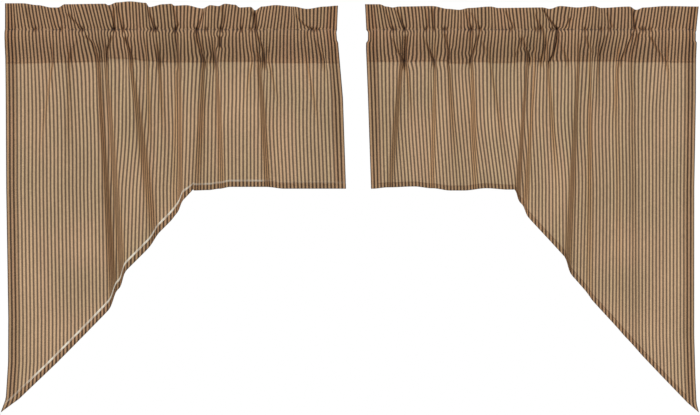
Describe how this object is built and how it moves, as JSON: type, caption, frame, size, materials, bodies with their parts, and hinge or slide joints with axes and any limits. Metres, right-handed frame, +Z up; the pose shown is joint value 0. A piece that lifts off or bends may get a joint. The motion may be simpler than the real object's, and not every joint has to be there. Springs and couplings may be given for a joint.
{
  "type": "swag and tail drape pair",
  "caption": "Gathered striped swag panels with a ruffled heading, an open rod pocket and a slanted hem that runs out into a long side tail; they hang from a rod to frame a window.",
  "frame": {"origin": "midway between the two panels on the line of their nominal top edges", "axes": "+Z up, -Y the front of the cloth, +X to the right of a viewer facing the front; the rod runs along X"},
  "size_m": [1.5575, 0.0378, 0.9163],
  "materials": {
    "ticking": "matt woven cotton, narrow dark stripes on tan, a little sheer",
    "ticking_heading": "matt woven cotton in two layers, narrow dark stripes on tan"
  },
  "bodies": {
    "root": {"left_heading": "ticking_heading", "left_swag": "ticking", "right_heading": "ticking_heading", "right_swag": "ticking"}
  },
  "joints": []
}
